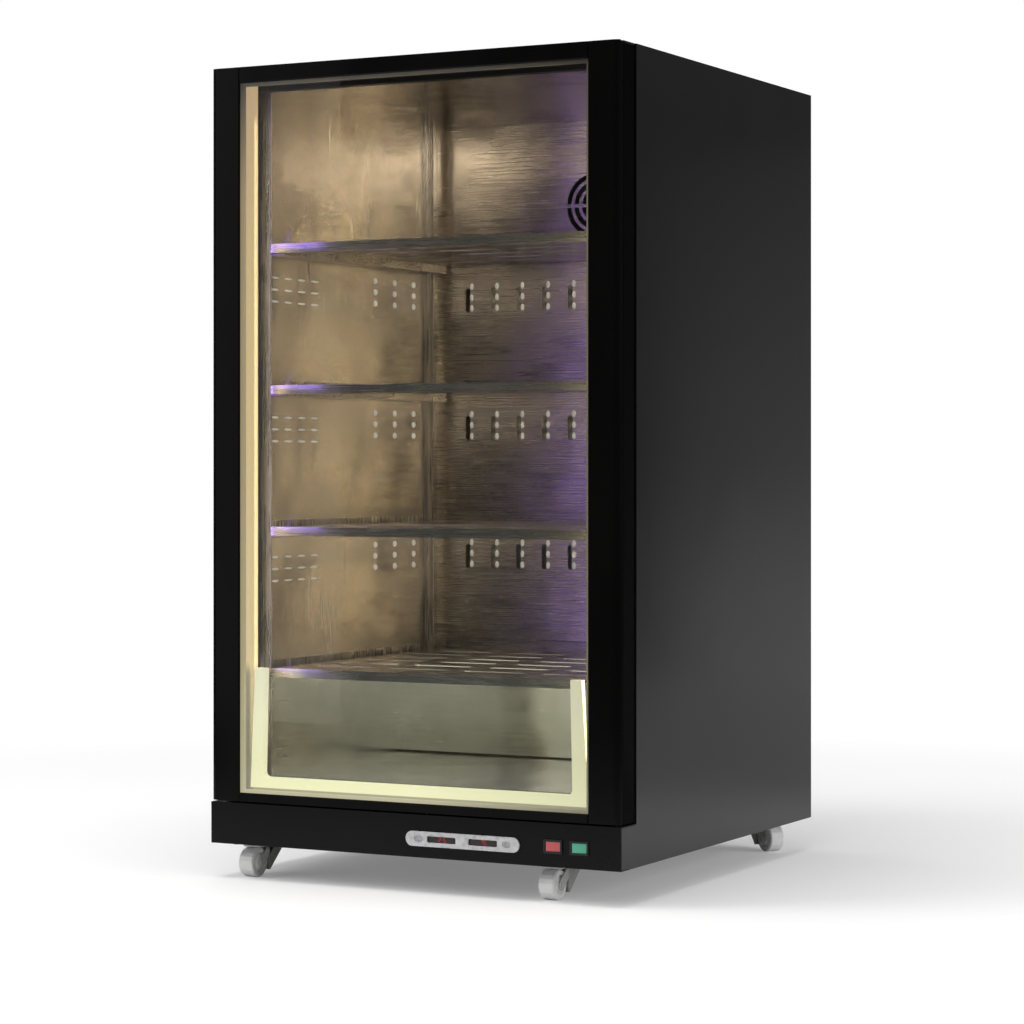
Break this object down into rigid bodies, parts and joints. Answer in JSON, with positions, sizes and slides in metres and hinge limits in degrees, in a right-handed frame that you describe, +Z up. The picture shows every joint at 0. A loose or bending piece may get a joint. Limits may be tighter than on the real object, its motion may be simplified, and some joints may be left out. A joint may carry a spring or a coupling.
{
  "type": "display refrigerator",
  "caption": "Black upright display refrigerator on casters with a framed glass door, lit door edges, steel shelves, plinth controller and lit rocker switches.",
  "frame": {"origin": "on the floor under the middle of the cabinet's footprint", "axes": "+Z up, -Y towards the glass door at the front, +X to the right as seen from the front, where the door hinges"},
  "size_m": [0.6, 0.626, 1.068],
  "materials": {
    "black_steel": "satin",
    "black_gloss": "gloss",
    "black_plastic": "matte",
    "steel": "satin",
    "zinc": "satin",
    "aluminium": "satin",
    "foam": "matte",
    "rubber": "matte",
    "glass": "gloss",
    "smoked_lens": "gloss",
    "warm_light": "satin",
    "violet_light": "satin",
    "red_lens": "gloss",
    "green_lens": "gloss",
    "silver": "satin",
    "pale_wheel": "matte"
  },
  "bodies": {
    "cabinet": {"left_side_panel": "black_steel", "right_side_panel": "black_steel", "top_panel": "black_steel", "rear_panel": "black_steel", "machine_cover": "black_steel", "power_inlet": "black_plastic", "base_pan": "black_steel", "plinth_panel": "black_steel", "inner_liner": "steel", "insulation_foam": "foam", "front_frame": "black_plastic", "air_duct_panel": "steel", "circulation_fan_motor": "black_plastic", "evaporator": "aluminium", "left_shelf_rack": "steel", "right_shelf_rack": "steel", "violet_lamp": "violet_light", "upper_hinge": "black_steel", "lower_hinge": "zinc", "control_bezel": "silver", "display_lens": "smoked_lens", "red_switch_housing": "black_plastic", "green_switch_housing": "black_plastic", "compressor": "black_steel", "condenser": "aluminium", "drip_tray": "black_plastic", "front_left_caster_plate": "zinc", "front_right_caster_plate": "zinc", "rear_right_caster_plate": "zinc", "rear_left_caster_plate": "zinc"},
    "door": {"left_stile": "black_gloss", "right_stile": "black_gloss", "top_rail": "black_gloss", "bottom_rail": "black_gloss", "outer_pane": "glass", "inner_pane": "glass", "glass_spacer": "aluminium", "light_bar_left": "warm_light", "light_bar_right": "warm_light", "lower_light_frame": "warm_light", "door_gasket": "rubber"},
    "shelf_1": {"shelf_1": "steel"},
    "shelf_2": {"shelf_2": "steel"},
    "shelf_3": {"shelf_3": "steel"},
    "shelf_4": {"shelf_4": "steel"},
    "left_key": {"left_key": "silver"},
    "right_key": {"right_key": "silver"},
    "red_rocker": {"red_rocker": "red_lens"},
    "green_rocker": {"green_rocker": "green_lens"},
    "circulation_fan": {"circulation_fan": "black_plastic"},
    "condenser_fan": {"condenser_fan": "black_plastic"},
    "front_left_fork": {"front_left_caster_fork": "zinc"},
    "front_left_wheel": {"front_left_caster_wheel": "pale_wheel"},
    "front_right_fork": {"front_right_caster_fork": "zinc"},
    "front_right_wheel": {"front_right_caster_wheel": "pale_wheel"},
    "rear_right_fork": {"rear_right_caster_fork": "zinc"},
    "rear_right_wheel": {"rear_right_caster_wheel": "pale_wheel"},
    "rear_left_fork": {"rear_left_caster_fork": "zinc"},
    "rear_left_wheel": {"rear_left_caster_wheel": "pale_wheel"}
  },
  "joints": [
    {"name": "door_hinge", "type": "hinge", "parent": "cabinet", "child": "door", "pos_m": [0.286, -0.29, 0.5855], "axis": [0, 0, 1], "range_deg": [0, 110]},
    {"name": "shelf_1_slide", "type": "slide", "parent": "cabinet", "child": "shelf_1", "axis": [0, -1, 0], "range_m": [0, 0.03]},
    {"name": "shelf_2_slide", "type": "slide", "parent": "cabinet", "child": "shelf_2", "axis": [0, -1, 0], "range_m": [0, 0.03]},
    {"name": "shelf_3_slide", "type": "slide", "parent": "cabinet", "child": "shelf_3", "axis": [0, -1, 0], "range_m": [0, 0.03]},
    {"name": "shelf_4_slide", "type": "slide", "parent": "cabinet", "child": "shelf_4", "axis": [0, -1, 0], "range_m": [0, 0.03]},
    {"name": "left_key_press", "type": "slide", "parent": "cabinet", "child": "left_key", "axis": [0, 1, 0], "range_m": [0, 0.001], "stiffness_N_per_m": 600, "springref_m": -0.002},
    {"name": "right_key_press", "type": "slide", "parent": "cabinet", "child": "right_key", "axis": [0, 1, 0], "range_m": [0, 0.001], "stiffness_N_per_m": 600, "springref_m": -0.002},
    {"name": "red_rocker_tilt", "type": "hinge", "parent": "cabinet", "child": "red_rocker", "pos_m": [0.2066, -0.3092, 0.0715], "axis": [0, 0, 1], "range_deg": [-16, 0]},
    {"name": "green_rocker_tilt", "type": "hinge", "parent": "cabinet", "child": "green_rocker", "pos_m": [0.243, -0.3092, 0.0715], "axis": [0, 0, 1], "range_deg": [-16, 0]},
    {"name": "circulation_fan_spin", "type": "hinge", "parent": "cabinet", "child": "circulation_fan", "pos_m": [0, 0.2495, 0.919], "axis": [0, -1, 0], "continuous": true},
    {"name": "condenser_fan_spin", "type": "hinge", "parent": "cabinet", "child": "condenser_fan", "pos_m": [0.1145, 0.232, 0.1038], "axis": [1, 0, 0], "continuous": true},
    {"name": "front_left_swivel", "type": "hinge", "parent": "cabinet", "child": "front_left_fork", "pos_m": [-0.257, -0.262, 0.04], "axis": [0, 0, 1], "continuous": true},
    {"name": "front_left_roll", "type": "hinge", "parent": "front_left_fork", "child": "front_left_wheel", "pos_m": [-0.257, -0.276, 0.019], "axis": [1, 0, 0], "continuous": true},
    {"name": "front_right_swivel", "type": "hinge", "parent": "cabinet", "child": "front_right_fork", "pos_m": [0.188, -0.262, 0.04], "axis": [0, 0, 1], "continuous": true},
    {"name": "front_right_roll", "type": "hinge", "parent": "front_right_fork", "child": "front_right_wheel", "pos_m": [0.188, -0.276, 0.019], "axis": [1, 0, 0], "continuous": true},
    {"name": "rear_right_swivel", "type": "hinge", "parent": "cabinet", "child": "rear_right_fork", "pos_m": [0.243, 0.282, 0.04], "axis": [0, 0, 1], "continuous": true},
    {"name": "rear_right_roll", "type": "hinge", "parent": "rear_right_fork", "child": "rear_right_wheel", "pos_m": [0.25447, 0.27397, 0.019], "axis": [0.5736, 0.8192, 0], "continuous": true},
    {"name": "rear_left_swivel", "type": "hinge", "parent": "cabinet", "child": "rear_left_fork", "pos_m": [-0.243, 0.282, 0.04], "axis": [0, 0, 1], "continuous": true},
    {"name": "rear_left_roll", "type": "hinge", "parent": "rear_left_fork", "child": "rear_left_wheel", "pos_m": [-0.252, 0.27127, 0.019], "axis": [0.766, -0.6428, 0], "continuous": true}
  ]
}
